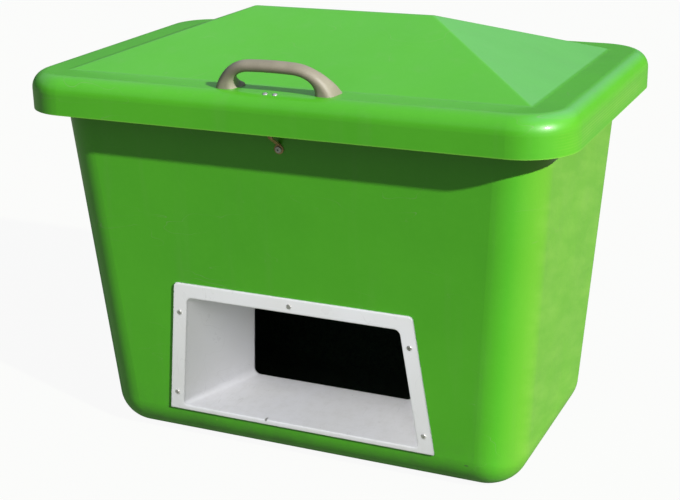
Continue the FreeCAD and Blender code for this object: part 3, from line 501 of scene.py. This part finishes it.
def handle_plastic():
    """Grey-beige moulded plastic with a fine spark texture and a drifting tone."""
    made, tree, shader = new_material("handle_plastic")
    place = place_on_piece(tree)
    drift = remap(tree, noise(tree, place, handle_tone_grain, detail=4.0), 0.35, 0.68)
    base = blend_colours(tree, drift, handle_beige, handle_grey)
    spark = noise(tree, place, spark_grain, detail=2.0)
    base = blend_colours(tree, remap(tree, spark, 0.5, 0.8, 0.0, spark_share), base, road_grime)
    roughness = remap(tree, noise(tree, place, handle_gloss_grain, detail=3.0), 0.3, 0.7, *handle_roughness)
    normal = bump(tree, spark, spark_depth, 0.5)
    finish(tree, shader, base, roughness, normal)
    return made


def plated_steel(name, bright, dull, stain, stain_share, roughness_range, metallic=1.0):
    """Metal with a drifting plated colour, fine draw lines and stains."""
    made, tree, shader = new_material(name)
    place = place_on_piece(tree)
    drift = remap(tree, noise(tree, place, plating_grain, detail=4.0), 0.35, 0.65)
    base = blend_colours(tree, drift, bright, dull)
    stained = noise(tree, place, stain_grain, detail=5.0, roughness=0.7)
    base = blend_colours(tree, remap(tree, stained, 0.52, 0.66, 0.0, stain_share), base, stain)
    lines = noise(tree, stretched(tree, place, (1.0, 1.0, draw_line_stretch)), draw_line_grain, detail=2.0)
    roughness = remap(tree, lines, 0.3, 0.7, *roughness_range)
    normal = bump(tree, lines, draw_line_depth, 0.4)
    finish(tree, shader, base, roughness, normal)
    shader.inputs["Metallic"].default_value = metallic
    return made


def assign_finishes():
    made = {
        "green_laminate": green_laminate(),
        "white_laminate": white_laminate(),
        "grey_beige_plastic": handle_plastic(),
        "stainless_steel": plated_steel("stainless_steel", steel, dull_steel, zinc_brown, stain_share=0.12,
                                        roughness_range=(0.3, 0.46), metallic=0.7),
        "zinc_plated_steel": plated_steel("zinc_plated_steel", zinc_tan, zinc_brown, rust, stain_share=0.35,
                                          roughness_range=(0.4, 0.6), metallic=0.35),
        "brass": plated_steel("brass", brass_yellow, brass_brown, zinc_brown, stain_share=0.2,
                              roughness_range=(0.24, 0.4)),
    }
    for part in frame["record"]["subparts"]:
        piece = frame["nodes"][part["node"]]
        piece.data.materials.clear()
        piece.data.materials.append(made[part["material_slot"]])


# Surroundings

def ray_kinds(tree):
    """1 for rays from the camera or through glass, and 1 for rays from gloss."""
    path = tree.nodes.new("ShaderNodeLightPath")
    seen = compute(tree, "MAXIMUM", path.outputs["Is Camera Ray"], path.outputs["Is Transmission Ray"])
    return seen, path.outputs["Is Glossy Ray"]


def make_world():
    world = bpy.data.worlds.new("studio")
    bpy.context.scene.world = world
    world.use_nodes = True
    tree = world.node_tree
    seen, glossy = ray_kinds(tree)
    direction = tree.nodes.new("ShaderNodeTexCoord").outputs["Generated"]
    mirrored = remap(tree, axis_of(tree, direction, "Z"), horizon_low, horizon_high,
                     horizon_gloss_strength, sky_gloss_strength)
    extra_gloss = compute(tree, "MULTIPLY", glossy, compute(tree, "SUBTRACT", mirrored, sky_strength))
    extra_seen = compute(tree, "MULTIPLY", seen, 1.0 - sky_strength)
    strength = compute(tree, "ADD", compute(tree, "ADD", extra_gloss, extra_seen), sky_strength)
    background = tree.nodes["Background"]
    tree.links.new(blend_colours(tree, seen, sky_white, backdrop_white), background.inputs["Color"])
    tree.links.new(strength, background.inputs["Strength"])


def make_floor():
    bpy.ops.object.select_all(action="DESELECT")
    bpy.ops.mesh.primitive_circle_add(vertices=floor_sides, radius=floor_radius, fill_type="NGON",
                                      location=(0, 0, -floor_below_bin))
    floor = bpy.context.object
    floor.name = "studio_floor"
    made = bpy.data.materials.new("pale_floor")
    made.use_nodes = True
    tree = made.node_tree
    tree.nodes.remove(tree.nodes["Principled BSDF"])
    diffuse = tree.nodes.new("ShaderNodeBsdfDiffuse")
    diffuse.inputs["Color"].default_value = floor_bounce
    glow = tree.nodes.new("ShaderNodeEmission")
    glow.inputs["Color"].default_value = (1, 1, 1, 1)
    glow.inputs["Strength"].default_value = floor_glow
    seen, glossy = ray_kinds(tree)
    share = compute(tree, "ADD", compute(tree, "MULTIPLY", seen, floor_seen_share),
                    compute(tree, "MULTIPLY", glossy, floor_gloss_share))
    mix = tree.nodes.new("ShaderNodeMixShader")
    tree.links.new(share, mix.inputs["Fac"])
    tree.links.new(diffuse.outputs["BSDF"], mix.inputs[1])
    tree.links.new(glow.outputs["Emission"], mix.inputs[2])
    tree.links.new(mix.outputs["Shader"], tree.nodes["Material Output"].inputs["Surface"])
    floor.data.materials.append(made)


def towards(azimuth, elevation):
    """Direction from the bin to something at an azimuth round from the front, and an elevation."""
    turn = math.radians(azimuth)
    rise = math.radians(elevation)
    return Vector((math.sin(turn) * math.cos(rise), -math.cos(turn) * math.cos(rise), math.sin(rise)))


def add_lamp(name, kind, power, direction, distance):
    """Lamp at a distance from the origin in a direction, shining back at the origin."""
    data = bpy.data.lights.new(name, kind)
    data.energy = power
    lamp = bpy.data.objects.new(name, data)
    bpy.context.scene.collection.objects.link(lamp)
    lamp.location = direction * distance
    lamp.rotation_mode = "QUATERNION"
    lamp.rotation_quaternion = direction.to_track_quat("Z", "Y")
    return lamp


def choose_lit(lamp, piece, link_state):
    """Light only one piece with a lamp, or all but that piece."""
    lit = bpy.data.collections.new(lamp.name + "_pieces")
    lit.objects.link(piece)
    lamp.light_linking.receiver_collection = lit
    lit.collection_objects[0].light_linking.link_state = link_state


def make_lamps():
    chute = frame["nodes"]["chute"]
    sun = add_lamp("sun", "SUN", sun_strength, towards(sun_azimuth, sun_elevation), sun_distance)
    sun.data.angle = math.radians(sun_width)
    choose_lit(sun, chute, "EXCLUDE")
    direction = towards(chute_lamp_azimuth, chute_lamp_elevation)
    softbox = add_lamp("chute_softbox", "AREA", chute_lamp_power, direction, chute_lamp_distance)
    softbox.data.shape = "DISK"
    softbox.data.size = chute_lamp_size
    choose_lit(softbox, chute, "INCLUDE")


def make_camera():
    data = bpy.data.cameras.new("camera")
    data.lens = camera_lens
    data.sensor_width = camera_sensor_width
    data.clip_end = camera_reach
    camera = bpy.data.objects.new("camera", data)
    bpy.context.scene.collection.objects.link(camera)
    back = towards(camera_azimuth, camera_elevation)
    right = (-back).cross(Vector((0, 0, 1))).normalized()
    up = right.cross(-back)
    roll = math.radians(camera_roll)
    right_rolled = right * math.cos(roll) + up * math.sin(roll)
    up_rolled = up * math.cos(roll) - right * math.sin(roll)
    turn = Matrix((right_rolled, up_rolled, back)).transposed()
    camera.matrix_world = Matrix.LocRotScale(camera_place, turn.to_quaternion(), None)
    bpy.context.scene.camera = camera


make_camera()
make_world()
make_floor()
make_lamps()
assign_finishes()

bpy.context.scene.view_settings.view_transform = "Standard"
